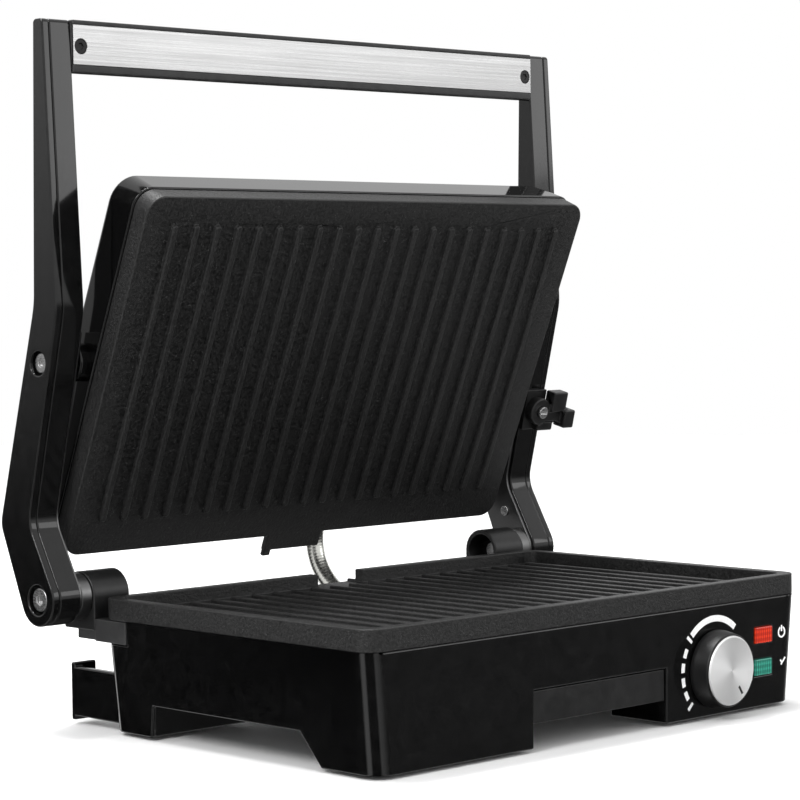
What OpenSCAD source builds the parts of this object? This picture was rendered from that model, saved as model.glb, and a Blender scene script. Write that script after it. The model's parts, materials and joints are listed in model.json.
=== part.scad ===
// Panini press with a floating lid, standing open.
// Origin: on the table, under the middle of the cooking plates. +Z is up, the front faces -Y.

/* [Cooking plates] */
// Width of each cooking plate
plate_w = 290; // [280:2:296]
// Depth of each cooking plate
plate_d = 181; // [177:1:184]
// Height of each plate's outer rim
plate_h = 10; // [8:0.5:12]
// Number of ribs on each plate
rib_count = 21; // [15:2:25]
// Width of one rib
rib_w = 3.2; // [2.4:0.2:4]
// Height of one rib
rib_h = 1.8; // [1:0.2:2.2]

/* [Base] */
// Height of the lower plate's rim above the table
base_top = 64; // [60:1:68]
// How much narrower the housing is at the table than under the plate, on each side
base_draft = 4.8; // [2:0.2:7]
// Wall thickness of the plastic housings
wall = 2.5; // [2:0.1:3]
// Height of the rubber feet
pad_h = 1.5; // [1:0.1:2.5]
// Height of the clear space under the base between its feet
arch_h = 16.3; // [14:0.1:17]

/* [Arms and hinge] */
// Distance of the hinge axis behind the middle of the plates
hinge_y = 106.8; // [106:0.1:108]
// Height of the hinge axis
hinge_z = 63.6; // [62:0.1:66]
// Distance of the lid pivot behind the middle of the plates, lid open
pivot_y = 103.4; // [102:0.1:104]
// Height of the lid pivot, lid open
pivot_z = 172.9; // [170:0.1:176]
// Lean of the open lid towards the front, from upright
lid_lean = 22.9; // [18:0.1:27]
// Height of the top of the arms
arm_top = 330; // [318:1:340]
// Distance from the middle to the inside of an arm
arm_in = 153; // [152.8:0.1:155]
// Thickness of an arm's inner half
arm_t = 12; // [10:0.5:14]
// Thickness of an arm's outer cover
cover_t = 4; // [3:0.5:5]

/* [Lid] */
// Depth from the lower face of the upper plate's rim to the pivot
rim_to_pivot = 21.7; // [21:0.1:23]
// Height of the lid's top above the pivot
lid_rise = 22; // [18:1:28]

/* [Controls] */
// Distance of the knob from the middle
knob_x = 79; // [74:0.1:84]
// Height of the knob's axis
knob_z = 24; // [22:0.1:26]
// Radius of the knob at its foot
knob_r = 18.5; // [16:0.1:20]
// Height of the knob
knob_h = 10.5; // [9:0.5:14]

/* [Hidden] */
$fn = 48;
hull_fn = 32;

// colours
gloss = [0.04, 0.04, 0.045];
satin = [0.13, 0.13, 0.14];
coated = [0.17, 0.17, 0.18];
steel = [0.75, 0.75, 0.77];
rubber = [0.08, 0.08, 0.08];

// base
plate_r = 9;
rim_w = 6;
plate_floor = 3.5;
house_top = base_top - plate_h;
lip = 0.3;
front_top = plate_d / 2 + lip;
front_foot = plate_d / 2 - 0.6;
front_lean = atan((front_top - front_foot) / (house_top - pad_h));
foot_front_d = 35.5;
foot_rear_d = 30.5;
tray_half = 45;
tray_top = 27.6;
foot_rear_in = 83;
floor_t = 2.5;
mark_gap = 0.02;
light_x = 116.6;

// plates
rib_pitch = (plate_w - 35) / (rib_count - 1);
rib_front = -71.5;
rib_back = 75.5;
upper_floor = 4.5;
screw_x = 112;
screw_y = 62;
notch_x = 1;
notch_w = 30;
tab_x = 1;
tab_w = 37;

// hinge
barrel_r = 11.5;
barrel_in = 124;
barrel_out = 145;
barrel_foot = 48;
bolt_r = 4;
nut_at = 8.8;
pin_r = 3;
run_gap = 0.06;
sleeve_r = 11;
sleeve_in = 145.4;
steel_in = arm_in - 1.6;
arm_mid = arm_in + arm_t;
arm_out = arm_mid + cover_t;
head_recess_r = 7;
hinge_end_r = 12.4;
pivot_recess_r = 5.6;
strap_screw = [114.6, 83.2];
strap_setback = 1.6;

// handle
handle_lo = arm_top - 24;
handle_front = 93.6;
handle_mid = 98.4;
handle_rear = 102.6;
handle_screw_x = arm_in - 4.6;
face_t = 1.2;

// lever, on the front of the right arm
lever_x = 161;
lever_z = 139;
arm_front_top = [88.3, 197];
arm_front_low = [112.7, 99];
lever_k = (arm_front_top[1] - lever_z) / (arm_front_top[1] - arm_front_low[1]);
lever_y = arm_front_top[0] + lever_k * (arm_front_low[0] - arm_front_top[0]);
arm_front_lean = atan((arm_front_low[0] - arm_front_top[0]) / (arm_front_top[1] - arm_front_low[1]));

// conduit
hose_x = 38;
hose_r = 4.6;
hose_base_z = 40;
hose_lid_z = 2;
hose_base_y = 96.6;
hose_lid_y = 97;
hose_turns = 18;

// ---------- helpers ----------

function unit(v) = v / norm(v);

// points of an arc of radius r that rounds the corner b between a and c
function corner_arc(a, b, c, r, n) =
    let (u = unit(a - b), v = unit(c - b), half = acos(u * v) / 2)
    let (m = b + unit(u + v) * r / sin(half), p = b + u * r / tan(half), q = b + v * r / tan(half))
    let (a0 = atan2(p[1] - m[1], p[0] - m[0]), a1 = atan2(q[1] - m[1], q[0] - m[0]))
    let (turn = ((a1 - a0 + 540) % 360) - 180)
    [for (i = [0:n]) m + r * [cos(a0 + turn * i / n), sin(a0 + turn * i / n)]];

// an open outline with its corners rounded, given as [point, radius] pairs; its two ends are left out
function rounded(c, n = 5) =
    [for (i = [1:len(c) - 2]) each corner_arc(c[i - 1][0], c[i][0], c[i + 1][0], c[i][1], n)];

module rounded_square(w, d, r) {
    square([w - 2 * r, d], center = true);
    square([w, d - 2 * r], center = true);
    for (x = [-1, 1], y = [-1, 1])
        translate([x * (w / 2 - r), y * (d / 2 - r)]) circle(r);
}

module rounded_box(w, d, z0, z1, r) {
    translate([0, 0, z0]) linear_extrude(z1 - z0) rounded_square(w, d, r);
}

// a block whose sides lean from one rounded outline up to another
module leaning_box(size0, size1, z0, z1, r0, r1) {
    hull($fn = hull_fn) {
        rounded_box(size0[0], size0[1], z0, z0 + 0.02, r0, $fn = hull_fn);
        rounded_box(size1[0], size1[1], z1 - 0.02, z1, r1, $fn = hull_fn);
    }
}

module both_sides() {
    children();
    mirror([1, 0, 0]) children();
}

// a cylinder along X, from x0 to x1, around the point (y, z)
module rod(r, x0, x1, y, z) {
    translate([x0, y, z]) rotate([0, 90, 0]) cylinder(r = r, h = x1 - x0);
}

// a side outline in (y, z), drawn out along X
module side_profile(x0, x1) {
    translate([x0, 0, 0]) rotate([90, 0, 90]) linear_extrude(x1 - x0) children();
}

// local x to the right, y up and z out of the leaning front wall
module on_front(x, z) {
    y = front_foot + (z - pad_h) * tan(front_lean);
    translate([x, -y, z]) rotate([90 + front_lean, 0, 0]) children();
}

// the lid's own frame: pivot at the origin, plate facing down, front edge towards -Y
module on_lid() {
    translate([0, pivot_y, pivot_z]) rotate([-(90 - lid_lean), 0, 0]) children();
}

// the lever's frame: z out of the front of the right arm, y up along it
module on_lever() {
    translate([lever_x, lever_y, lever_z]) rotate([90 + arm_front_lean, 0, 0]) children();
}

module ribs(z0, h) {
    for (i = [0:rib_count - 1]) {
        x = (i - (rib_count - 1) / 2) * rib_pitch;
        translate([x - rib_w / 2, rib_front, z0]) cube([rib_w, rib_back - rib_front, h]);
        for (y = [rib_front, rib_back]) translate([x, y, z0]) cylinder(r = rib_w / 2, h = h);
    }
}

// a heating loop lying flat at height z, with two cold ends that point down
module heating_loop(z, pin_len) {
    r = 3.2;
    bend = 22;
    half_w = 105;
    half_d = 58;
    translate([0, 0, z]) {
        for (s = [-1, 1]) {
            translate([-(half_w - bend), s * half_d, 0]) rotate([0, 90, 0])
                cylinder(r = r, h = 2 * (half_w - bend));
            translate([s * half_w, -(half_d - bend), 0]) rotate([-90, 0, 0])
                cylinder(r = r, h = 2 * (half_d - bend));
            translate([s * 30, half_d, -pin_len]) cylinder(r = 2, h = pin_len);
        }
        for (a = [0:90:270]) {
            cx = (a == 0 || a == 270) ? 1 : -1;
            cy = (a < 180) ? 1 : -1;
            translate([cx * (half_w - bend), cy * (half_d - bend), 0])
                rotate([0, 0, a]) rotate_extrude(angle = 90) translate([bend, 0]) circle(r);
        }
    }
}

module reflector(z0, h) {
    difference() {
        rounded_box(244, 142, z0, z0 + h, 10);
        rounded_box(242.4, 140.4, z0 + 0.8, z0 + h + 1, 9.2);
        for (s = [-1, 1]) translate([s * 30, 58, z0 - 1]) cylinder(r = 4, h = h);
        for (x = [-1, 1], y = [-1, 1]) translate([x * screw_x, y * screw_y, z0 - 1]) cylinder(r = 4.6, h = 4);
    }
}

// screws that hold a plate from inside its housing, heads down
module plate_screws(z0, z1) {
    for (x = [-1, 1], y = [-1, 1]) translate([x * screw_x, y * screw_y, z0]) {
        cylinder(r = 4, h = 2);
        cylinder(r = 1.8, h = z1 - z0);
    }
}

// ---------- base ----------

module base_solid(inset) {
    leaning_box([plate_w + 2 * lip - 2 * base_draft - 2 * inset, 2 * front_foot - 2 * inset],
        [plate_w + 2 * lip - 2 * inset, 2 * front_top - 2 * inset],
        inset > 0 ? pad_h - 1 : pad_h, inset > 0 ? house_top + 1 : house_top,
        10 - inset, 10 - inset);
}

// floors and inner walls of the four hollow feet
module foot_walls() {
    front = -plate_d / 2 + foot_front_d;
    rear = plate_d / 2 - foot_rear_d;
    both_sides() {
        translate([tray_half, -plate_d, pad_h]) cube([plate_w, plate_d + front, floor_t]);
        translate([tray_half, -plate_d, pad_h]) cube([wall, plate_d + front, tray_top - pad_h]);
        translate([tray_half, front - wall, pad_h]) cube([plate_w, wall, arch_h - pad_h]);
        translate([foot_rear_in, rear, pad_h]) cube([plate_w, plate_d, floor_t]);
        translate([foot_rear_in, rear, pad_h]) cube([wall, plate_d, arch_h - pad_h]);
        translate([foot_rear_in, rear, pad_h]) cube([plate_w, wall, arch_h - pad_h]);
    }
}

module side_arch() {
    front = -plate_d / 2 + foot_front_d;
    rear = plate_d / 2 - foot_rear_d;
    polygon([[front, -5], [rear, -5], [rear, pad_h], [rear - 3, arch_h],
        [front + 12, arch_h], [front, pad_h]]);
}

module base_housing() {
    color(gloss) difference() {
        union() {
            difference() {
                base_solid(0);
                base_solid(wall);
                side_profile(-plate_w, plate_w) side_arch();
            }
            intersection() {
                base_solid(0);
                foot_walls();
            }
        }
        translate([-tray_half, -plate_d, -5]) cube([2 * tray_half, plate_d, tray_top + 5]);
        translate([-foot_rear_in, plate_d / 2 - 20, -5]) cube([2 * foot_rear_in, 40, arch_h + 5]);
        both_sides() translate([barrel_in - 1, 72, 43]) cube([40, 60, 30]);
        on_front(knob_x, knob_z) translate([0, 0, -10]) cylinder(r = 5.5, h = 20);
        for (z = [36.2, 20.6]) on_front(light_x, z) cube([13.2, 8, 12], center = true);
        translate([-70, plate_d / 2 + 10, 30]) rotate([90, 0, 0]) cylinder(r = 7, h = 30);
        translate([hose_x, plate_d / 2 + 10, hose_base_z]) rotate([90, 0, 0]) cylinder(r = 6.5, h = 30);
    }
}

module base_bottom_cover() {
    front = -plate_d / 2 + foot_front_d + 0.2;
    rear = plate_d / 2 - foot_rear_d - 0.4;
    side_in = tray_half + 0.5;
    side_w = 136.5 - side_in;
    roof = tray_top + 0.5;
    color(satin) {
        difference() {
            union() {
                both_sides() translate([side_in, front, arch_h]) cube([side_w, rear - front, 2]);
                translate([-foot_rear_in + 1, rear - 1, arch_h])
                    cube([2 * foot_rear_in - 2, foot_rear_d - 3.6, 2]);
                both_sides() translate([side_in, front, arch_h]) cube([2, rear - front, roof + 2 - arch_h]);
                both_sides() translate([side_in - 1.6, front, 18.4]) cube([1.7, rear - front - 2, 1.2]);
                translate([-side_in - 2, 4 - plate_d / 2, roof])
                    cube([2 * side_in + 4, rear + plate_d / 2 - 4, 2]);
                translate([-side_in, rear - 2, arch_h]) cube([2 * side_in, 2, roof - arch_h + 1]);
            }
            both_sides() for (i = [0:5])
                translate([70 + i * 9, -30, arch_h - 1]) cube([3, 70, 4]);
            cover_screw_places() cylinder(r = 1.6, h = 12);
        }
    }
}

module cover_screw_places() {
    for (x = [-126, -58, 58, 126], y = [-42, 52]) translate([x, y, arch_h - 1.4]) children();
}

module bottom_cover_screws() {
    color(steel) cover_screw_places() {
        cylinder(r = 3, h = 1.4);
        cylinder(r = 1.4, h = 6);
    }
}

module rubber_feet() {
    color(rubber) for (x = [-1, 1], y = [-72, 75]) translate([x * 109, y, 0]) cylinder(r = 9, h = pad_h);
}

module lower_grill_plate() {
    floor_z = house_top + plate_floor;
    x0 = notch_x - notch_w / 2;
    color(coated) difference() {
        union() {
            difference() {
                rounded_box(plate_w, plate_d, house_top, base_top, plate_r);
                rounded_box(plate_w - 2 * rim_w, plate_d - 2 * rim_w, floor_z, base_top + 1, plate_r - 3);
            }
            ribs(floor_z - 0.1, rib_h + 0.1);
            translate([x0 - 2, plate_d / 2 - rim_w, house_top]) cube([notch_w + 4, rim_w + 6, 4.8]);
        }
        translate([x0, plate_d / 2 - rim_w - 1, floor_z]) cube([notch_w, rim_w + 10, plate_h]);
    }
}

module lower_plate_screws() {
    color(steel) plate_screws(house_top - 13, house_top);
}

module lower_heating_element() {
    color(steel) heating_loop(house_top - 3.3, 19);
}

module lower_heat_reflector() {
    color(steel) reflector(house_top - 15, 12);
}

module thermostat() {
    color(steel) on_front(knob_x, knob_z) difference() {
        union() {
            translate([0, 0, -24]) cylinder(r = 13, h = 16);
            translate([-15, -10, -30]) cube([30, 20, 6.5]);
            translate([0, 0, -9]) cylinder(r = 5, h = 9.5);
            translate([-17, -4, -9]) cube([34, 8, 1.2]);
        }
        translate([0, 0, -20]) cylinder(r = 3 + run_gap, h = 24);
    }
}

module thermostat_spindle() {
    color(steel) on_front(knob_x, knob_z) translate([0, 0, -19]) cylinder(r = 3, h = 25);
}

module control_knob() {
    cap_r = knob_r - 1.9;
    color(gloss) on_front(knob_x, knob_z) rotate_extrude() polygon([
        [3.02, 1], [7, 1], [7, 5], [knob_r - 3, 5], [knob_r - 3, 0.8], [knob_r, 0.8],
        [knob_r, 3], [knob_r - 0.5, 7], [knob_r - 1.2, knob_h - 0.3], [knob_r - 1.6, knob_h],
        [cap_r, knob_h], [cap_r, knob_h - 1.5], [3.02, knob_h - 1.5]]);
}

module knob_cap() {
    cap_r = knob_r - 2;
    color(steel) on_front(knob_x, knob_z) difference() {
        rotate_extrude() polygon([
            [0, knob_h - 1.4], [cap_r, knob_h - 1.4], [cap_r, knob_h + 0.1],
            [cap_r - 0.6, knob_h + 0.7], [0, knob_h + 0.7]]);
        rotate([0, 0, -56]) translate([cap_r - 7, -0.7, knob_h + 0.3]) cube([5.5, 1.4, 2]);
    }
}

// one stroke of the printed scale, between two radii, from angle a by a sweep
module scale_stroke(r0, r1, a, sweep) {
    rotate([0, 0, a]) rotate_extrude(angle = sweep) translate([r0, 0]) square([r1 - r0, 0.2]);
}

module dial_marks() {
    color("white") on_front(knob_x, knob_z) translate([0, 0, mark_gap]) {
        scale_stroke(22.2, 25.2, 50, 84);
        for (i = [0:3]) scale_stroke(21.6, 23.8, 151 + i * 17.5, 11);
        scale_stroke(21.4, 25.8, 138, 3.5);
        scale_stroke(21.4, 25.8, 222, 3.5);
    }
    color("white") on_front(130.5, 36.2) translate([0, 0, mark_gap]) {
        scale_stroke(2, 2.8, 115, 310);
        translate([-0.4, 0.4, 0]) cube([0.8, 3, 0.2]);
    }
    color("white") on_front(130.5, 20.6) translate([0, 0, mark_gap]) {
        rotate([0, 0, -45]) translate([-0.4, -0.4, 0]) cube([0.8, 4.6, 0.2]);
        rotate([0, 0, 45]) translate([0.4, -0.4, 0]) cube([0.8, 2.4, 0.2]);
    }
}

module lens(z) {
    on_front(light_x, z) {
        translate([-6.5, -3.9, -3]) cube([13, 7.8, 3.5]);
        translate([-8, -5.4, -4.4]) cube([16, 10.8, 1.4]);
    }
}

module power_light_lens() {
    color([0.85, 0.1, 0.05]) lens(36.2);
}

module ready_light_lens() {
    color([0.05, 0.55, 0.35]) lens(20.6);
}

module indicator_lamps() {
    color(steel) for (z = [36.2, 20.6]) on_front(light_x, z) translate([0, 0, -16]) cylinder(r = 2.6, h = 11);
}

module drip_tray() {
    back = 54;
    front = -plate_d / 2 + 1.5;
    rim_y = -plate_d / 2 + foot_front_d;
    color(satin) {
        difference() {
            union() {
                translate([-43.5, front + 2, 12.4]) cube([87, back - front - 2, 8.6]);
                translate([-44.8, rim_y, 19.8]) cube([89.6, back - rim_y, 1.2]);
            }
            translate([-41.9, front + 8, 14]) cube([83.8, back - front - 9.6, 12]);
        }
        translate([-44.5, front, 12.4]) cube([89, 2.4, 14.7]);
    }
}

module cord_cleats() {
    color(gloss) both_sides() {
        translate([131, plate_d / 2 - 0.14, 4]) cube([4, 36.6, 23.5]);
        translate([122, plate_d / 2 + 34, 2]) cube([13, 3, 27.5]);
    }
}

module cord_grommet() {
    color(rubber) translate([-70, plate_d / 2 - 6, 30]) rotate([-90, 0, 0]) difference() {
        union() {
            cylinder(r = 6.9, h = 9);
            translate([0, 0, 6.5]) cylinder(r = 9, h = 2.5);
        }
        translate([0, 0, -1]) cylinder(r = 3.6, h = 12);
    }
}

module terminal_block() {
    color("ivory") difference() {
        translate([-95, 70, arch_h + 2]) cube([36, 14, 12]);
        for (i = [0:2]) translate([-89 + i * 12, 77, arch_h + 5]) cylinder(r = 2.4, h = 12);
    }
}

module thermal_fuse() {
    color(steel) rod(2, 50, 68, 40, house_top - 17.2);
}

// ring with a flange; its mouth points along local +Z
module gland(h) {
    difference() {
        union() {
            cylinder(r = 6.3, h = h);
            translate([0, 0, 3.4]) cylinder(r = 8.5, h = 2.2);
        }
        translate([0, 0, h - 4]) cylinder(r = hose_r + 0.3, h = 6);
        translate([0, 0, -1]) cylinder(r = 3, h = h);
    }
}

module conduit_gland_base() {
    color(satin) translate([hose_x, hose_base_y - 9, hose_base_z]) rotate([-90, 0, 0]) gland(9);
}

// ---------- hinge ----------

module hinge_bracket() {
    color(satin) difference() {
        translate([barrel_in, 72.5, 43.3]) cube([20.9, hinge_y - barrel_r - 72.55, house_top - 43.6]);
        translate([barrel_in + 3, 72, 46]) cube([14, 18, house_top - 45]);
    }
    color(satin) translate([barrel_in, 95.2, 43.3]) cube([18.5, 16.2, barrel_foot - 43.4]);
}

module hinge_barrel() {
    color(satin) difference() {
        side_profile(barrel_in, barrel_out) {
            translate([hinge_y, hinge_z]) circle(barrel_r);
            translate([hinge_y - barrel_r, barrel_foot]) square([2 * barrel_r, hinge_z - barrel_foot]);
        }
        rod(9, barrel_in - 1, barrel_out - 6.5, hinge_y, hinge_z);
        rod(bolt_r + run_gap, barrel_in, barrel_out + 1, hinge_y, hinge_z);
    }
}

module hinge_bracket_right() {
    hinge_bracket();
}

module hinge_bracket_left() {
    mirror([1, 0, 0]) hinge_bracket();
}

module hinge_barrel_right() {
    hinge_barrel();
}

module hinge_barrel_left() {
    mirror([1, 0, 0]) hinge_barrel();
}

module hinge_bolts() {
    color(steel) both_sides() difference() {
        union() {
            rod(bolt_r, barrel_in + nut_at - 0.5, arm_mid + 0.3, hinge_y, hinge_z);
            rod(5.4, arm_mid + 0.2, arm_mid + 2.6, hinge_y, hinge_z);
        }
        translate([arm_mid + 1, hinge_y, hinge_z]) rotate([0, 90, 0]) cylinder(r = 2.6, h = 4, $fn = 6);
    }
}

module hinge_nuts() {
    color(steel) both_sides() difference() {
        translate([barrel_in + nut_at, hinge_y, hinge_z]) rotate([0, 90, 0])
            cylinder(r = 7.4, h = 5.5, $fn = 6);
        rod(bolt_r + 0.02, barrel_in, barrel_out, hinge_y, hinge_z);
    }
}

module hinge_sleeves() {
    color([0.5, 0.5, 0.5]) both_sides() difference() {
        rod(sleeve_r, sleeve_in, steel_in, hinge_y, hinge_z);
        rod(bolt_r + 0.02, sleeve_in - 1, steel_in + 1, hinge_y, hinge_z);
    }
}

// ---------- arms ----------

// angle, seen from the hinge, at which a line from p touches the round end of the arm
function touch(p, side) = let (d = p - [hinge_y, hinge_z])
    atan2(d[1], d[0]) + side * acos(hinge_end_r / norm(d));
function on_end(a) = [hinge_y, hinge_z] + hinge_end_r * [cos(a), sin(a)];

module arm_outline() {
    rear_low = [134.8, 97.5];
    a0 = touch(rear_low, -1);
    a1 = touch(arm_front_low, 1) - 360;
    polygon(concat(
        rounded([[on_end(a1), 0], [arm_front_low, 16], [arm_front_top, 30], [[95.7, arm_top], 2],
            [[102.6, arm_top], 2], [[105.8, 200], 45], [rear_low, 12], [on_end(a0), 0]]),
        [for (i = [0:20]) on_end(a0 + (a1 - a0) * i / 20)]));
}

module arm_half(x0, x1, hinge_hole, pivot_hole) {
    difference() {
        side_profile(x0, x1) arm_outline();
        rod(hinge_hole, x0 - 1, x1 + 1, hinge_y, hinge_z);
        rod(pivot_hole, x0 - 1, x1 + 1, pivot_y, pivot_z);
    }
}

module arm_right() {
    color(gloss) arm_half(arm_in, arm_mid, bolt_r + 0.02, pin_r + 0.02);
}

module arm_left() {
    mirror([1, 0, 0]) arm_right();
}

module arm_cover_right() {
    color(gloss) arm_half(arm_mid, arm_out, head_recess_r, pivot_recess_r);
}

module arm_cover_left() {
    mirror([1, 0, 0]) arm_cover_right();
}

// steel strap inside the arm, from the hinge to just above the lid pivot
module arm_steel_right() {
    color(steel) difference() {
        intersection() {
            arm_half(steel_in, arm_in, bolt_r + 0.02, pin_r + 0.02);
            translate([0, strap_setback, 0]) side_profile(steel_in - 1, arm_in + 1) arm_outline();
            translate([steel_in - 1, 60, 40]) cube([5, 90, pivot_z + 14 - 40]);
        }
        rod(1.6, steel_in - 1, arm_in + 1, strap_screw[0], strap_screw[1]);
    }
}

module arm_steel_left() {
    mirror([1, 0, 0]) arm_steel_right();
}

module arm_steel_screws() {
    color(steel) both_sides() {
        rod(2.6, steel_in - 0.9, steel_in, strap_screw[0], strap_screw[1]);
        rod(1.55, steel_in - 0.5, arm_in, strap_screw[0], strap_screw[1]);
    }
}

module handle_section(y0, y1) {
    side_profile(-arm_in, arm_in) polygon([
        [y0, handle_lo], [y1 - 1, handle_lo], [y1, handle_lo + 1],
        [y1, arm_top - 1], [y1 - 1, arm_top], [y0, arm_top]]);
}

// the handle's two screws, pointing back into it, from depth y behind its front
module handle_screw_places(y) {
    for (s = [-1, 1]) translate([s * handle_screw_x, handle_front + y, handle_lo + 12])
        rotate([-90, 0, 0]) children();
}

module handle_bar() {
    face_lo = handle_lo + 3.6;
    color(satin) difference() {
        handle_section(handle_front, handle_mid);
        translate([-arm_in - 1, handle_front - 1, face_lo])
            cube([2 * arm_in + 2, 1 + face_t, arm_top - 2.2 - face_lo]);
        handle_screw_places(-1) cylinder(r = 1.5, h = 5.5);
    }
}

module handle_rear_grip() {
    color(gloss) handle_section(handle_mid, handle_rear);
}

module handle_face_plate() {
    face_lo = handle_lo + 3.6;
    color(steel) difference() {
        translate([-arm_in + 0.2, handle_front, face_lo])
            cube([2 * arm_in - 0.4, face_t, arm_top - 2.2 - face_lo]);
        handle_screw_places(-1) cylinder(r = 3.6, h = 5);
    }
}

module handle_screws() {
    color(gloss) handle_screw_places(0.2) difference() {
        union() {
            cylinder(r = 3.5, h = 1);
            cylinder(r = 1.45, h = 4.2);
        }
        translate([0, 0, -1]) cylinder(r = 1.6, h = 1.6, $fn = 6);
    }
}

module lid_pivot_screws() {
    color(steel) both_sides() difference() {
        union() {
            rod(pin_r, 140.5, arm_mid + 0.3, pivot_y, pivot_z);
            rod(4.6, arm_mid + 0.2, arm_mid + 2, pivot_y, pivot_z);
        }
        translate([arm_mid + 0.8, pivot_y, pivot_z]) rotate([0, 90, 0]) cylinder(r = 2, h = 4, $fn = 6);
    }
}

module lever_bracket() {
    color(satin) on_lever() difference() {
        translate([-7.5, -11, 0.05]) cube([14.8, 22, 2]);
        translate([0, 0, -1]) cylinder(r = 2.52, h = 4);
    }
}

module release_lever() {
    color(gloss) on_lever() difference() {
        union() {
            translate([0, 0, 2.3]) cylinder(r = 7.4, h = 5);
            translate([0, -6, 2.3]) cube([24, 7, 5]);
            translate([16, -9, 2.3]) cube([8, 10, 8.5]);
            translate([6.5, 0, 2.3]) cube([11, 11, 7]);
            translate([0, -11, 2.3]) cube([12, 6, 4]);
        }
        translate([0, 0, 1]) cylinder(r = 2.5 + run_gap, h = 12);
    }
}

module release_lever_screw() {
    color(steel) on_lever() difference() {
        union() {
            translate([0, 0, 0.1]) cylinder(r = 2.5, h = 8);
            translate([0, 0, 7.6]) cylinder(r = 3.2, h = 1.8);
        }
        translate([-2.4, -0.5, 8.6]) cube([4.8, 1, 2]);
    }
}

// ---------- lid ----------

module lid_solid(inset) {
    z0 = plate_h - rim_to_pivot;
    shoulder = 7;
    w = plate_w + 1.6 - 2 * inset;
    d = plate_d + 1.6 - 2 * inset;
    leaning_box([w, d], [w - 2.4, d - 2.4], inset > 0 ? z0 - 1 : z0, shoulder, 10 - inset, 12 - inset);
    leaning_box([w - 2.4, d - 2.4], [w - 30, d - 28],
        shoulder - 0.02, lid_rise - inset, 12 - inset, 26 - inset);
}

module lid_housing() {
    color(gloss) on_lid() difference() {
        union() {
            difference() {
                lid_solid(0);
                lid_solid(wall);
            }
            both_sides() rod(9, 133, steel_in - 0.6, 0, 0);
        }
        both_sides() rod(5, 132, steel_in, 0, 0);
        translate([hose_x, plate_d / 2 - 20, hose_lid_z]) rotate([-90, 0, 0]) cylinder(r = 6.4, h = 40);
    }
}

module lid_pivot_bushes() {
    color("ivory") on_lid() both_sides() difference() {
        rod(4.95, 136, steel_in - 0.6, 0, 0);
        rod(pin_r + run_gap, 139.5, steel_in, 0, 0);
    }
}

module upper_grill_plate() {
    z0 = -rim_to_pivot;
    color(coated) on_lid() {
        difference() {
            rounded_box(plate_w, plate_d, z0, z0 + plate_h, plate_r);
            rounded_box(plate_w - 2 * rim_w, plate_d - 2 * rim_w,
                z0 + upper_floor, z0 + plate_h + 1, plate_r - 3);
        }
        for (x = [-1, 1], y = [-1, 1])
            translate([x * screw_x, y * screw_y, z0 + upper_floor - 0.1]) cylinder(r = 4, h = 5);
        translate([0, 0, -rib_h]) mirror([0, 1, 0]) ribs(z0, rib_h + 0.1);
        translate([tab_x - tab_w / 2, plate_d / 2 - 1, z0]) cube([tab_w, 9, 3]);
        translate([tab_x - tab_w / 2, plate_d / 2 + 7.9, z0]) cube([5, 3.2, 2.4]);
    }
}

module upper_plate_screws() {
    color(steel) on_lid() mirror([0, 0, 1]) plate_screws(-2, rim_to_pivot - upper_floor - 4.9);
}

module upper_heating_element() {
    color(steel) on_lid() mirror([0, 0, 1]) heating_loop(rim_to_pivot - upper_floor - 3.3, 18);
}

module upper_heat_reflector() {
    color(steel) on_lid() mirror([0, 0, 1]) reflector(rim_to_pivot - upper_floor - 12, 9);
}

module conduit_gland_lid() {
    color(satin) on_lid() translate([hose_x, hose_lid_y - 9, hose_lid_z]) rotate([-90, 0, 0]) gland(9);
}

// middle of the hose at t = 0 (lid) to 1 (base), in (y, z): a cubic curve that leaves both glands straight
function lid_to_room(y, z) = [pivot_y + y * sin(lid_lean) + z * cos(lid_lean),
    pivot_z - y * cos(lid_lean) + z * sin(lid_lean)];
function hose_point(t) =
    let (a = lid_to_room(hose_lid_y - 3.6, hose_lid_z), b = lid_to_room(hose_lid_y + 28, hose_lid_z))
    let (c = [hose_base_y + 30, hose_base_z], d = [hose_base_y - 3.6, hose_base_z])
    pow(1 - t, 3) * a + 3 * t * pow(1 - t, 2) * b + 3 * t * t * (1 - t) * c + pow(t, 3) * d;

module wiring_conduit() {
    sides = 12;
    ring = [for (i = [0:hose_turns])
        let (t = i / hose_turns, p = hose_point(t))
        let (u = unit(hose_point(t + 0.01) - hose_point(t - 0.01)))
        for (k = [0:sides - 1])
            [hose_x + hose_r * cos(360 * k / sides),
             p[0] - u[1] * hose_r * sin(360 * k / sides), p[1] + u[0] * hose_r * sin(360 * k / sides)]];
    walls = [for (i = [0:hose_turns - 1], k = [0:sides - 1])
        let (a = i * sides, b = (i + 1) * sides, n = (k + 1) % sides)
        each [[a + k, a + n, b + n], [a + k, b + n, b + k]]];
    first = [for (k = [1:sides - 2]) [0, k + 1, k]];
    end = hose_turns * sides;
    last = [for (k = [1:sides - 2]) [end, end + k, end + k + 1]];
    color(steel) polyhedron(points = ring, faces = concat(walls, first, last));
}

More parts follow.
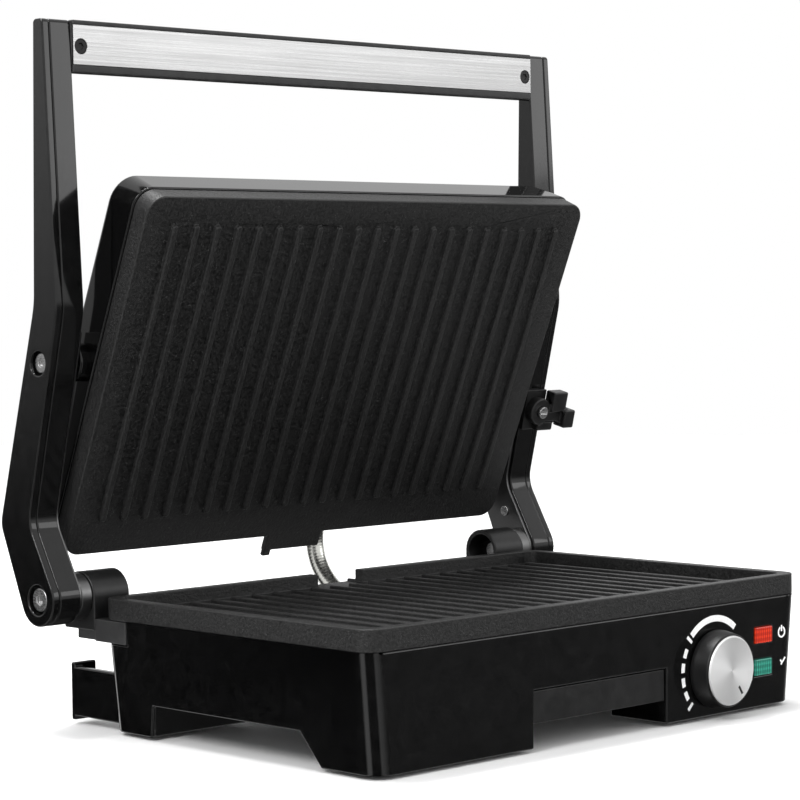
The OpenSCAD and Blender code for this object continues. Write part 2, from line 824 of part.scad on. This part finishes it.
base_housing();
base_bottom_cover();
bottom_cover_screws();
rubber_feet();
lower_grill_plate();
lower_plate_screws();
lower_heating_element();
lower_heat_reflector();
thermostat();
thermostat_spindle();
control_knob();
knob_cap();
dial_marks();
power_light_lens();
ready_light_lens();
indicator_lamps();
drip_tray();
cord_cleats();
cord_grommet();
terminal_block();
thermal_fuse();
conduit_gland_base();
hinge_bracket_left();
hinge_bracket_right();
hinge_barrel_left();
hinge_barrel_right();
hinge_bolts();
hinge_nuts();
hinge_sleeves();
arm_left();
arm_right();
arm_cover_left();
arm_cover_right();
arm_steel_left();
arm_steel_right();
arm_steel_screws();
handle_bar();
handle_rear_grip();
handle_face_plate();
handle_screws();
lid_pivot_screws();
lever_bracket();
release_lever();
release_lever_screw();
lid_housing();
upper_grill_plate();
upper_plate_screws();
upper_heating_element();
upper_heat_reflector();
lid_pivot_bushes();
conduit_gland_lid();
wiring_conduit();
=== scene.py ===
import json
import math

import bmesh
import bpy
import numpy as np
from mathutils import Matrix, Vector


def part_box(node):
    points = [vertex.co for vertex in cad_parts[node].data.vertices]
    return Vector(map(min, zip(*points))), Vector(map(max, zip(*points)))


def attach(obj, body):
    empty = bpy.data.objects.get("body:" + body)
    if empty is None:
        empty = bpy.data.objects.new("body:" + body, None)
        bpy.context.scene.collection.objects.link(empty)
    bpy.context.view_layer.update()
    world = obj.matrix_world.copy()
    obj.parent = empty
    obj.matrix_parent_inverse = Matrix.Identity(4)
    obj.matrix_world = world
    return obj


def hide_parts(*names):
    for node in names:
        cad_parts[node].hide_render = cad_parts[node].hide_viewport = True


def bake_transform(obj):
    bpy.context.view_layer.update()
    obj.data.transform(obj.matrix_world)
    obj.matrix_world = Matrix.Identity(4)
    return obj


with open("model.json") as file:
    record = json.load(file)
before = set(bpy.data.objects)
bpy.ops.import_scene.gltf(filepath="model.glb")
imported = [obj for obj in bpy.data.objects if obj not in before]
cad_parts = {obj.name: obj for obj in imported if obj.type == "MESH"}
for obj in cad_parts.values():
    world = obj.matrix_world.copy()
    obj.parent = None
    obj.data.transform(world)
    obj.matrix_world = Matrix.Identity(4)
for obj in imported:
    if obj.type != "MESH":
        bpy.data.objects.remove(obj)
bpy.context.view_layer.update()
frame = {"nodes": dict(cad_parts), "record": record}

BODY = {n: b for b, nodes in frame["record"]["behaviour"]["bodies"].items() for n in nodes}


# Lid pivot and lean, as open
PIVOT_Y, PIVOT_Z = 103.4, 172.9
LEAN = math.radians(22.9)
# Lean of the base's front wall, and the knob's place on it
FRONT_FOOT_Y = 89.9
FRONT_LEAN = math.atan((90.8 - FRONT_FOOT_Y) / 52.5)
KNOB_X, KNOB_Z = 79.0, 24.0
# Steel hose: its place across the press, where it meets the base, and the turn of its folds
HOSE_X, HOSE_BASE_Z = 38.0, 40
HOSE_R, FOLD_DEPTH, FOLD_PITCH = 4.53, 0.035, 1.9
# Camera: place in mm, and yaw, pitch and roll in degrees
CAMERA_AT = (-887.4, -880.0, 204.8)
CAMERA_TURN = (43.984, 2.404, -0.686)
CAMERA_LENS = 118.48


def mm(x, y, z):
    return Vector((x, y, z)) / 1000


# ---------- camera ----------

def aim_camera():
    yaw, pitch, roll = (math.radians(a) for a in CAMERA_TURN)
    ahead = Vector((math.sin(yaw) * math.cos(pitch), math.cos(yaw) * math.cos(pitch), -math.sin(pitch)))
    right = Vector((math.cos(yaw), -math.sin(yaw), 0))
    up = right.cross(ahead)
    x = right * math.cos(roll) + up * math.sin(roll)
    y = up * math.cos(roll) - right * math.sin(roll)
    cam = bpy.data.objects.new("camera", bpy.data.cameras.new("camera"))
    cam.data.sensor_width = 36
    cam.data.lens = CAMERA_LENS
    cam.data.clip_start = 0.05
    cam.data.clip_end = 60
    turn = Matrix((x, y, -ahead)).transposed().to_4x4()
    cam.matrix_world = Matrix.Translation(mm(*CAMERA_AT)) @ turn
    bpy.context.scene.collection.objects.link(cam)
    bpy.context.scene.camera = cam


# ---------- materials ----------

class Shader:
    """One node material; every node it adds is placed in a row."""

    def __init__(self, name):
        self.mat = bpy.data.materials.new(name)
        self.mat.use_nodes = True
        self.tree = self.mat.node_tree
        self.bsdf = self.tree.nodes["Principled BSDF"]
        self.count = 0

    def add(self, kind, inputs=None, **settings):
        n = self.tree.nodes.new(kind)
        self.count += 1
        n.location = (-220 * self.count, 0)
        for k, v in settings.items():
            setattr(n, k, v)
        for k, v in (inputs or {}).items():
            self.put(n.inputs[k], v)
        return n

    def put(self, socket, value):
        if isinstance(value, bpy.types.NodeSocket):
            self.tree.links.new(value, socket)
        else:
            socket.default_value = value

    def set(self, **values):
        for k, v in values.items():
            self.put(self.bsdf.inputs[k.replace("_", " ")], v)

    def place(self, scale=(1, 1, 1), at=(0, 0, 0), turn=(0, 0, 0)):
        coords = self.add("ShaderNodeTexCoord").outputs["Object"]
        m = self.add("ShaderNodeMapping", {"Vector": coords}, vector_type="TEXTURE")
        m.inputs["Location"].default_value = at
        m.inputs["Rotation"].default_value = turn
        m.inputs["Scale"].default_value = scale
        return m.outputs["Vector"]

    def noise(self, scale, detail=3, rough=0.55, vector=None):
        return self.add("ShaderNodeTexNoise", {"Vector": vector or self.place(), "Scale": scale,
                        "Detail": detail, "Roughness": rough}).outputs["Fac"]

    def ramp(self, fac, low, high, lo=0.0, hi=1.0):
        return self.add("ShaderNodeMapRange", {"Value": fac, "From Min": lo, "From Max": hi,
                        "To Min": low, "To Max": high}).outputs["Result"]

    def mix(self, fac, a, b):
        m = self.add("ShaderNodeMix", data_type="RGBA")
        self.put(m.inputs["Factor"], fac)
        self.put(m.inputs[6], a)
        self.put(m.inputs[7], b)
        return m.outputs[2]

    def math(self, op, a, b=0.0):
        return self.add("ShaderNodeMath", {0: a, 1: b}, operation=op).outputs[0]

    def wear(self):
        return self.add("ShaderNodeAttribute", attribute_name="wear").outputs["Fac"]

    def bump(self, height, strength, depth, under=None):
        b = self.add("ShaderNodeBump", {"Height": height, "Strength": strength, "Distance": depth})
        if under is not None:
            self.put(b.inputs["Normal"], under)
        return b.outputs["Normal"]


def grey(v, tint=0.0):
    return (v, v, v * (1 + tint), 1)


def plastic(name, value, low, high, worn, grain=0.0, grain_scale=2600, specular=0.5, flow=0.04):
    """Moulded plastic: soft mottling, fine dust and rub marks in its gloss, edges rubbed paler."""
    s = Shader(name)
    broad = s.noise(14, 4)
    fine = s.noise(420, 4)
    edge = s.math("MULTIPLY", s.wear(), s.ramp(s.noise(160, 5, 0.7), 0.2, 1.0, 0.35, 0.7))
    base = s.mix(broad, grey(value * 0.8, 0.05), grey(value * 1.25, 0.05))
    s.set(Base_Color=s.mix(edge, base, grey(worn)))
    gloss = s.math("ADD", s.ramp(broad, low, high, 0.3, 0.7), s.ramp(fine, -0.02, 0.03))
    s.set(Roughness=s.math("ADD", gloss, s.math("MULTIPLY", edge, 0.08)))
    s.bsdf.inputs["Specular IOR Level"].default_value = specular
    wave = s.bump(s.noise(26, 2), flow, 0.001)
    s.set(Normal=s.bump(s.noise(grain_scale, 3), grain, 0.0002, wave))
    return s.mat


def coated_plate():
    """Speckled non-stick: pebbled skin, paler flecks, slightly polished on the ribs' and rim's edges."""
    s = Shader("nonstick")
    pebble = s.noise(760, 4, 0.65)
    fleck = s.add("ShaderNodeTexVoronoi", {"Vector": s.place(), "Scale": 950.0}).outputs["Distance"]
    dots = s.ramp(fleck, 1.0, 0.0, 0.05, 0.24)
    kept = s.math("MULTIPLY", dots, s.ramp(s.noise(330, 2), 0.0, 1.0, 0.5, 0.62))
    skin = s.mix(s.ramp(pebble, 0.0, 1.0, 0.35, 0.68), grey(0.001), grey(0.016))
    flecked = s.mix(s.math("MULTIPLY", kept, 0.8), skin, grey(0.13))
    s.set(Base_Color=s.mix(s.math("MULTIPLY", s.wear(), 0.35), flecked, grey(0.03)))
    s.set(Roughness=s.ramp(pebble, 0.36, 0.56, 0.3, 0.7))
    s.bsdf.inputs["Specular IOR Level"].default_value = 0.32
    rolled = s.bump(pebble, 0.55, 0.0006)
    s.set(Normal=s.bump(s.noise(2100, 2), 0.25, 0.0002, rolled))
    return s.mat


def metal(name, value, low, high, scratch=(1, 1, 1), scale=300, depth=0.25, tint=0.0, turn=0.0,
          tarnish=0.75):
    """Bare or plated metal, its scratches drawn out along one axis."""
    s = Shader(name)
    lines = s.noise(scale, 5, 0.65, s.place(scratch))
    cloud = s.noise(35, 3)
    bare, dulled = grey(value, tint), grey(value * tarnish, tint)
    s.set(Base_Color=s.mix(s.math("MULTIPLY", lines, 0.5), bare, dulled))
    s.set(Roughness=s.math("ADD", s.ramp(lines, low, high, 0.3, 0.7), s.ramp(cloud, -0.03, 0.04)))
    s.bsdf.inputs["Metallic"].default_value = 1.0
    s.bsdf.inputs["Anisotropic"].default_value = turn
    s.set(Normal=s.bump(lines, depth, 0.00015))
    return s.mat


def spun_metal():
    """Aluminium turned on a lathe: rings round the knob's axis; its bright fans are partly thrown by the
    radial sheen and partly a painted highlight in the base colour.
    """
    s = Shader("spun_aluminium")
    middle, lean = knob_frame()
    v = s.place(at=middle, turn=(math.radians(90) + lean, 0, 0))
    split = s.add("ShaderNodeSeparateXYZ", {"Vector": v})
    x, y = split.outputs[0], split.outputs[1]
    radius = s.math("SQRT", s.math("ADD", s.math("MULTIPLY", x, x), s.math("MULTIPLY", y, y)))
    along = s.add("ShaderNodeCombineXYZ", {0: radius}).outputs[0]
    rings = s.noise(5200, 3, 0.6, along)
    turn = s.math("ARCTAN2", y, x)
    # painted highlight: two paler wedges of base colour across the cap, set at the angle where the bright
    # fans fall
    fan_highlight_swing = s.math("COSINE", s.math("MULTIPLY", s.math("ADD", turn, 0.55), 2.0))
    painted_fan_highlight = s.math("POWER", s.ramp(fan_highlight_swing, 0.0, 1.0, -1.0, 1.0), 1.6)
    s.set(Base_Color=s.mix(painted_fan_highlight, grey(0.64), grey(1.0)))
    s.set(Roughness=s.ramp(rings, 0.38, 0.5, 0.3, 0.7))
    s.bsdf.inputs["Metallic"].default_value = 0.72
    s.bsdf.inputs["Anisotropic"].default_value = 0.6
    tangent = s.add("ShaderNodeTangent", direction_type="RADIAL", axis="Y")
    s.set(Tangent=tangent.outputs[0])
    s.set(Normal=s.bump(rings, 0.3, 0.0001))
    return s.mat


def lens_plastic(name, deep, bright):
    """A lit lens: fluted inside, with a brighter core where the lamp sits."""
    s = Shader(name)
    v = s.place()
    flutes = s.add("ShaderNodeTexWave", {"Vector": v, "Scale": 190.0, "Distortion": 0.6, "Detail": 1.0},
                   wave_type="BANDS", bands_direction="X").outputs["Fac"]
    cross = s.add("ShaderNodeTexWave", {"Vector": v, "Scale": 120.0, "Distortion": 0.4},
                  wave_type="BANDS", bands_direction="Z").outputs["Fac"]
    core = s.math("MULTIPLY", s.ramp(flutes, 0.35, 1.0, 0.2, 0.8), s.ramp(cross, 0.55, 1.0, 0.3, 0.9))
    paint = s.mix(core, deep, bright)
    s.set(Base_Color=paint, Emission_Color=paint)
    s.bsdf.inputs["Emission Strength"].default_value = 0.22
    s.set(Roughness=s.ramp(s.noise(300, 3), 0.08, 0.2))
    s.bsdf.inputs["Coat Weight"].default_value = 0.5
    s.set(Normal=s.bump(flutes, 0.25, 0.0003))
    return s.mat


def printed():
    s = Shader("white_print")
    ink = s.noise(900, 4, 0.7)
    s.set(Base_Color=s.mix(s.ramp(ink, 0.0, 1.0, 0.4, 0.75), grey(0.92), grey(0.74)))
    s.set(Roughness=s.ramp(ink, 0.45, 0.6), Normal=s.bump(ink, 0.2, 0.0001))
    return s.mat


def knob_frame():
    """Middle of the knob's cap and the lean of the front wall, from the CAD cap's box."""
    low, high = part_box("knob_cap")
    return (low + high) / 2, FRONT_LEAN


MAT = {
    "black_gloss": plastic("black_gloss", 0.0012, 0.05, 0.08, 0.008, 0.0, specular=0.42, flow=0.006),
    "black_satin": plastic("black_satin", 0.004, 0.32, 0.44, 0.02, 0.15, specular=0.34),
    "rubber": plastic("rubber", 0.006, 0.62, 0.78, 0.03, 0.4, 1500, 0.3),
    "nonstick": coated_plate(),
    "screw_steel": metal("screw_steel", 0.62, 0.2, 0.38, (1, 1, 0.2), 500),
    "element_steel": metal("element_steel", 0.34, 0.3, 0.5, (0.2, 0.2, 1), 260, 0.3, -0.12),
    "sheet_steel": metal("sheet_steel", 0.55, 0.22, 0.4, (8, 1, 1), 320),
    "spun_aluminium": spun_metal(),
    "white_print": printed(),
    "red_lens": lens_plastic("red_lens", (0.2, 0.003, 0.002, 1), (0.62, 0.035, 0.008, 1)),
    "green_lens": lens_plastic("green_lens", (0.004, 0.05, 0.035, 1), (0.035, 0.3, 0.22, 1)),
    "ceramic_white": plastic("ceramic_white", 0.62, 0.5, 0.62, 0.7, 0.3, 1800),
    "bracket_grey": plastic("bracket_grey", 0.012, 0.35, 0.5, 0.04, 0.35, 1800),
    "sleeve_grey": metal("sleeve_grey", 0.17, 0.34, 0.46, (1, 6, 6), 400, 0.12),
    "handle_grey": plastic("handle_grey", 0.01, 0.34, 0.46, 0.04, 0.15, 2200, 0.35),
    "brushed_face": metal("brushed_face", 0.5, 0.22, 0.34, (60, 0.5, 0.5), 600, 0.1, 0.0, 0.0, 0.62),
    "black_screw": plastic("black_screw", 0.002, 0.22, 0.34, 0.01, 0.1, 1600, 0.25),
    "hose_steel": metal("hose_steel", 0.74, 0.2, 0.3, (1, 1, 1), 420, 0.08, -0.06),
}


def slot_of(node):
    for m in frame["nodes"][node].data.materials:
        if m and m.name.split(".")[0] in SLOTS:
            return m.name.split(".")[0]
    return "black_satin"


SLOTS = {m["slot"] for m in frame["record"]["materials"]}
NODE_SLOT = {n: slot_of(n) for n in frame["nodes"]}
NODE_SLOT["hinge_nuts"] = "black_screw"


# ---------- mesh tools ----------

def mark_wear(me):
    """Per-point share of how convex the surface is: high along rubbed edges, 0 on flats and in corners."""
    bm = bmesh.new()
    bm.from_mesh(me)
    worn = np.zeros(len(bm.verts), np.float32)
    for e in bm.edges:
        if len(e.link_faces) == 2:
            turn = e.calc_face_angle_signed(0.0)
            if turn > math.radians(8):
                share = min(turn / math.radians(28), 1.0)
                for v in e.verts:
                    worn[v.index] = max(worn[v.index], share)
    bm.free()
    a = me.attributes.get("wear") or me.attributes.new("wear", "FLOAT", "POINT")
    a.data.foreach_set("value", worn)


def settle(ob, sharp=38):
    """Applies the modifiers, shades the result smooth between sharp edges and marks its worn edges."""
    dg = bpy.context.evaluated_depsgraph_get()
    me = bpy.data.meshes.new_from_object(ob.evaluated_get(dg), preserve_all_data_layers=True, depsgraph=dg)
    ob.modifiers.clear()
    ob.data = me
    me.shade_smooth()
    me.set_sharp_from_angle(angle=math.radians(sharp))
    w = ob.modifiers.new("weights", "WEIGHTED_NORMAL")
    w.mode = "FACE_AREA"
    w.weight = 60
    w.keep_sharp = True
    mark_wear(me)


def piece(name, bm, slot, body, bevel=0.0, segments=3, angle=32, nodes=(), smooth=38, recalc=True):
    me = bpy.data.meshes.new(name)
    if recalc:
        bmesh.ops.recalc_face_normals(bm, faces=bm.faces)
    bm.to_mesh(me)
    bm.free()
    ob = bpy.data.objects.new(name, me)
    bpy.context.scene.collection.objects.link(ob)
    me.materials.append(MAT[slot])
    if bevel:
        b = ob.modifiers.new("bevel", "BEVEL")
        b.width = bevel / 1000
        b.segments = segments
        b.limit_method = "ANGLE"
        b.angle_limit = math.radians(angle)
        b.use_clamp_overlap = False
        b.miter_outer = "MITER_SHARP"
    settle(ob, smooth)
    if body:
        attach(ob, body)
    if nodes:
        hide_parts(*nodes)
    return ob


def refine(node, bevel, segments=3, slot=None, join=1.5):
    """A finished copy of a CAD node: its flats joined up, and every edge rounded over."""
    bm = bmesh.new()
    bm.from_mesh(frame["nodes"][node].data)
    bmesh.ops.remove_doubles(bm, verts=bm.verts, dist=2e-6)
    bmesh.ops.dissolve_limit(bm, angle_limit=math.radians(join), verts=bm.verts, edges=bm.edges)
    return piece("fine_" + node, bm, slot or NODE_SLOT[node], BODY[node], bevel, segments, nodes=(node,),
                 recalc=False)


def ring_faces(bm, loops, close_last=False):
    for a, b in zip(loops, loops[1:]):
        n = len(a)
        for i in range(n):
            bm.faces.new((a[i], a[(i + 1) % n], b[(i + 1) % n], b[i]))
    if close_last:
        a, b = loops[-1], loops[0]
        for i in range(len(a)):
            bm.faces.new((a[i], a[(i + 1) % len(a)], b[(i + 1) % len(a)], b[i]))


def fillet(points, steps=5):
    """An open outline of (x, y, radius) corners, with each inner corner rounded."""
    out = [Vector(points[0][:2])]
    for (a, b, c) in zip(points, points[1:], points[2:]):
        p, q, r = Vector(a[:2]), Vector(b[:2]), Vector(c[:2])
        if b[2] <= 0:
            out.append(q)
            continue
        u, v = (p - q).normalized(), (r - q).normalized()
        half = math.acos(max(-1, min(1, u.dot(v)))) / 2
        m = q + (u + v).normalized() * b[2] / math.sin(half)
        s, e = q + u * b[2] / math.tan(half) - m, q + v * b[2] / math.tan(half) - m
        for i in range(steps + 1):
            d = s.lerp(e, i / steps).normalized() * b[2]
            out.append(m + d)
    out.append(Vector(points[-1][:2]))
    return out


def lathe(profile, place, turns=96):
    """Turns an (r, z) outline round local Z; place takes local points into the row frame, in mm."""
    bm = bmesh.new()
    loops = []
    for r, z in profile:
        turned = [2 * math.pi * k / turns for k in range(turns)]
        loops.append([bm.verts.new(place(r * math.cos(a), r * math.sin(a), z)) for a in turned])
    ring_faces(bm, loops, close_last=True)
    return bm


# ---------- the lid ----------

def on_lid(x, y, z):
    """The lid's own frame, plate down and front edge towards -Y, into the open lid's place, in metres."""
    turn = -(math.pi / 2 - LEAN)
    c, s = math.cos(turn), math.sin(turn)
    return (Vector((0, PIVOT_Y, PIVOT_Z)) + Vector((x, y * c - z * s, y * s + z * c))) / 1000


def rounded_loop(hx, hy, r, steps=9):
    pts = []
    for sx, sy, a0 in ((1, 1, 0), (-1, 1, 90), (-1, -1, 180), (1, -1, 270)):
        for i in range(steps + 1):
            a = math.radians(a0 + 90 * i / steps)
            pts.append((sx * (hx - r) + r * math.cos(a), sy * (hy - r) + r * math.sin(a)))
    return pts


def lid_housing():
    """A lofted shell, open below, with a pivot boss on each side. t is how far in the wall has moved."""
    wall_in, crown_in = 1.2, 13.8

    def loop(t):
        low = min(max(t / wall_in, 0), 1)
        high = min(max((t - wall_in) / crown_in, 0), 1)
        half_depth = 91.3 - t if t < wall_in else 90.1 - (t - wall_in) * 12.8 / crown_in
        return rounded_loop(145.8 - t, half_depth, 10 + 2 * low + 14 * high)

    outer = fillet([(2.5, -11.7, 0), (0, -11.7, 0.8), (1.2, 7, 3.2), (15, 22, 7), (22, 22, 0)], 6)
    outer[0] = Vector((2.4, -11.7))
    inner = fillet([(23, 19.5, 0), (16.4, 19.5, 5), (3.7, 7, 2), (2.5, -11.7, 0)], 4)
    bm = bmesh.new()
    loops = []
    for t, z in outer:
        loops.append([bm.verts.new(on_lid(x, y, z)) for x, y in loop(t)])
    bm.faces.new(loops[-1])
    inside = []
    for t, z in inner:
        inside.append([bm.verts.new(on_lid(x, y, z)) for x, y in loop(t)])
    bm.faces.new(list(reversed(inside[0])))
    ring_faces(bm, loops)
    ring_faces(bm, inside)
    n = len(loops[0])
    for i in range(n):
        bm.faces.new((inside[-1][i], inside[-1][(i + 1) % n], loops[0][(i + 1) % n], loops[0][i]))
    around = [2 * math.pi * k / 48 for k in range(48)]
    for side in (-1, 1):
        boss = fillet([(5, 133, 0), (9, 133, 0.5), (9, 150.8, 1.2), (5, 150.8, 0.3), (5, 133.1, 0)], 4)
        rings = []
        for r, out in boss:
            rings.append([bm.verts.new(on_lid(side * out, r * math.cos(a), r * math.sin(a))) for a in around])
        ring_faces(bm, rings, close_last=True)
    return piece("lid_shell", bm, "black_gloss", "lid", nodes=("lid_housing",), smooth=30)


# ---------- the hose ----------

def lid_to_room(y, z):
    """A point of the lid's own (y, z) as (y, z) in the room, with the lid open."""
    return Vector((PIVOT_Y + y * math.sin(LEAN) + z * math.cos(LEAN),
                   PIVOT_Z - y * math.cos(LEAN) + z * math.sin(LEAN)))


def hose_point(t):
    """Middle of the hose at t = 0 (lid) to 1 (base): a cubic curve that leaves both glands straight."""
    a, b = lid_to_room(93.4, 2), lid_to_room(125, 2)
    c, d = Vector((126.6, HOSE_BASE_Z)), Vector((93, HOSE_BASE_Z))
    return a * (1 - t) ** 3 + b * 3 * t * (1 - t) ** 2 + c * 3 * t * t * (1 - t) + d * t ** 3


def hose(name, t0, t1):
    """Half of the interlocked steel hose; its folds wind round it like a thread."""
    ts = np.linspace(0, 1, 2001)
    pts = [hose_point(t) for t in ts]
    run = np.concatenate([[0], np.cumsum([(q - p).length for p, q in zip(pts, pts[1:])])])
    s0, s1 = np.interp([t0, t1], ts, run)
    count = int((s1 - s0) / 0.42)
    sides = 28
    bm = bmesh.new()
    loops = []
    for i in range(count + 1):
        s = s0 + (s1 - s0) * i / count
        t = float(np.interp(s, run, ts))
        p, u = hose_point(t), (hose_point(t + 0.003) - hose_point(t - 0.003)).normalized()
        ring = []
        for k in range(sides):
            a = 2 * math.pi * k / sides
            wave = (s / FOLD_PITCH + k / sides) % 1.0
            r = HOSE_R + FOLD_DEPTH * (0.5 - 0.5 * math.cos(2 * math.pi * wave))
            across, out = r * math.cos(a), r * math.sin(a)
            ring.append(bm.verts.new(mm(HOSE_X + across, p[0] - u[1] * out, p[1] + u[0] * out)))
        loops.append(ring)
    ring_faces(bm, loops)
    bm.faces.new(loops[0])
    bm.faces.new(loops[-1])
    ob = piece(name, bm, "hose_steel", None, smooth=60)
    ob.modifiers.clear()
    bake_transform(ob)
    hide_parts("wiring_conduit")
    return ob


# ---------- knob details ----------

def knob_place(x, y, z):
    """Local x to the right, y up, z out of the leaning front wall."""
    front = FRONT_FOOT_Y + (KNOB_Z - 1.5) * math.tan(FRONT_LEAN)
    c, s = math.cos(math.pi / 2 + FRONT_LEAN), math.sin(math.pi / 2 + FRONT_LEAN)
    return mm(KNOB_X + x, -front + y * c - z * s, KNOB_Z + y * s + z * c)


def knob_body():
    outline = fillet([(3.02, 1, 0), (7, 1, 0.3), (7, 5, 0.3), (15.5, 5, 0.3), (15.5, 0.8, 0.2),
                      (18.5, 0.8, 0.5), (18.5, 3, 4), (17.4, 9.9, 1.1), (16.9, 10.6, 0.35),
                      (16.6, 10.5, 0.1), (16.6, 9, 0), (3.02, 9, 0)], 5)
    turned = lathe(outline, knob_place, 128)
    return piece("knob_body", turned, "black_satin", "knob", nodes=("control_knob",), smooth=34)


def knob_index():
    """Dark inlay in the cap's pointer groove."""
    bm = bmesh.new()
    turn = Matrix.Rotation(math.radians(-56), 3, "Z")
    corners = []
    for x, y in ((10.0, -0.62), (14.6, -0.62), (14.6, 0.62), (10.0, 0.62)):
        corners.append(turn @ Vector((x - 0.5, y, 0)))
    low = [bm.verts.new(knob_place(p.x, p.y, 10.78)) for p in corners]
    top = [bm.verts.new(knob_place(p.x, p.y, 11.16)) for p in corners]
    bm.faces.new(list(reversed(low)))
    bm.faces.new(top)
    ring_faces(bm, [low, top])
    return piece("knob_index", bm, "black_satin", "knob", 0.12, 2)


# ---------- build ----------

aim_camera()
for node, ob in frame["nodes"].items():
    if not ob.data.attributes.get("wear"):
        mark_wear(ob.data)
    if not ob.data.materials:
        ob.data.materials.append(None)
    for i in range(len(ob.data.materials)):
        ob.data.materials[i] = MAT[NODE_SLOT[node]]

EDGES = {
    "base_housing": (0.9, 3), "base_bottom_cover": (0.3, 2), "bottom_cover_screws": (0.25, 2),
    "rubber_feet": (0.4, 3), "lower_grill_plate": (0.6, 3), "upper_grill_plate": (0.8, 3),
    "drip_tray": (0.5, 3), "cord_cleats": (0.9, 3), "cord_grommet": (0.4, 3),
    "conduit_gland_base": (0.4, 3), "conduit_gland_lid": (0.4, 3),
    "hinge_bracket_left": (0.5, 3), "hinge_bracket_right": (0.5, 3),
    "hinge_barrel_left": (0.8, 3), "hinge_barrel_right": (0.8, 3),
    "hinge_bolts": (0.35, 3), "hinge_sleeves": (0.5, 3),
    "arm_left": (0.9, 3), "arm_right": (0.9, 3), "arm_cover_left": (0.8, 3), "arm_cover_right": (0.8, 3),
    "arm_steel_screws": (0.3, 2),
    "handle_bar": (0.6, 3), "handle_rear_grip": (0.8, 3), "handle_face_plate": (0.12, 2),
    "handle_screws": (0.3, 3), "lid_pivot_screws": (0.35, 3), "lid_pivot_bushes": (0.3, 2),
    "lever_bracket": (0.3, 2), "release_lever": (1.0, 3), "release_lever_screw": (0.3, 3),
    "knob_cap": (0.22, 2), "power_light_lens": (0.6, 3), "ready_light_lens": (0.6, 3),
}
for node, (width, steps) in EDGES.items():
    refine(node, width, steps)

for node in ("arm_steel_left", "arm_steel_right"):
    refine(node, 0.25, 2, "sleeve_grey")
lid_housing()
knob_body()
knob_index()
hose("hose_upper", 0.0, 0.5)
hose("hose_lower", 0.5, 1.0)


# ---------- floor and light ----------

def floor():
    s = Shader("floor")
    s.set(Base_Color=s.mix(s.noise(3, 3), grey(0.93), grey(0.96)))
    s.set(Roughness=s.ramp(s.noise(40, 3), 0.7, 0.85))
    s.set(Normal=s.bump(s.noise(700, 3), 0.05, 0.0003))
    bm = bmesh.new()
    turned = [2 * math.pi * k / 96 for k in range(96)]
    bm.faces.new([bm.verts.new((2.4 * math.cos(a), 2.4 * math.sin(a), -0.0002)) for a in turned])
    me = bpy.data.meshes.new("floor")
    bm.to_mesh(me)
    bm.free()
    me.materials.append(s.mat)
    ob = bpy.data.objects.new("floor", me)
    bpy.context.scene.collection.objects.link(ob)
    ob.visible_glossy = False


def softbox(name, place, target, width, height, power):
    data = bpy.data.lights.new(name, "AREA")
    data.shape = "RECTANGLE"
    data.size, data.size_y, data.energy = width, height, power
    ob = bpy.data.objects.new(name, data)
    ob.location = place
    ob.rotation_euler = (Vector(target) - Vector(place)).to_track_quat("-Z", "Y").to_euler()
    bpy.context.scene.collection.objects.link(ob)


def studio():
    """White to the camera. To everything else, a dark table with bright panels below a bright wall."""
    world = bpy.data.worlds.new("studio")
    world.use_nodes = True
    bpy.context.scene.world = world
    t = world.node_tree
    for n in list(t.nodes):
        t.nodes.remove(n)
    out = t.nodes.new("ShaderNodeOutputWorld")
    seen, lit = t.nodes.new("ShaderNodeBackground"), t.nodes.new("ShaderNodeBackground")
    seen.inputs["Color"].default_value = (1, 1, 1, 1)
    coords = t.nodes.new("ShaderNodeTexCoord")
    split = t.nodes.new("ShaderNodeSeparateXYZ")
    t.links.new(coords.outputs["Generated"], split.inputs[0])

    def op(kind, *values):
        n = t.nodes.new("ShaderNodeMath")
        n.operation = kind
        for i, v in enumerate(values):
            if isinstance(v, bpy.types.NodeSocket):
                t.links.new(v, n.inputs[i])
            else:
                n.inputs[i].default_value = v
        return n.outputs[0]

    rise = t.nodes.new("ShaderNodeMapRange")
    rise.interpolation_type = "SMOOTHSTEP"
    t.links.new(split.outputs[2], rise.inputs["Value"])
    rise.inputs["From Min"].default_value = -0.12
    rise.inputs["From Max"].default_value = 0.13
    side = op("ADD", op("MULTIPLY", split.outputs[0], 0.72), op("MULTIPLY", split.outputs[1], -0.69))
    panels = t.nodes.new("ShaderNodeValToRGB")
    t.links.new(op("MULTIPLY_ADD", side, 0.5, 0.5), panels.inputs[0])
    stops = ((0.0, 0.0), (0.1, 0.0), (0.16, 1.3), (0.25, 1.3), (0.31, 0.02), (0.62, 0.02),
             (0.69, 0.9), (0.8, 0.7), (0.92, 0.14), (1.0, 0.12))
    while len(panels.color_ramp.elements) < len(stops):
        panels.color_ramp.elements.new(0.5)
    for stop, (at, value) in zip(panels.color_ramp.elements, stops):
        stop.position = at
        stop.color = (value, value, value, 1)
    table = panels.outputs[0]
    wall = op("MULTIPLY_ADD", side, 0.05, 0.98)
    level = op("ADD", table, op("MULTIPLY", rise.outputs[0], op("SUBTRACT", wall, table)))
    t.links.new(level, lit.inputs["Color"])
    rays = t.nodes.new("ShaderNodeLightPath")
    mix = t.nodes.new("ShaderNodeMixShader")
    t.links.new(rays.outputs["Is Camera Ray"], mix.inputs[0])
    t.links.new(lit.outputs[0], mix.inputs[1])
    t.links.new(seen.outputs[0], mix.inputs[2])
    t.links.new(mix.outputs[0], out.inputs[0])
    softbox("key", (-1.5, -0.3, 1.2), (0, 0, 0.12), 0.5, 0.7, 16)
    softbox("front_fill", (1.4, -1.5, 0.8), (0, 0, 0.2), 1.0, 0.6, 4.2)
    softbox("top", (-0.1, 0.35, 1.6), (0, 0, 0.1), 0.9, 0.2, 26)
    bpy.context.scene.view_settings.view_transform = "Standard"


floor()
studio()
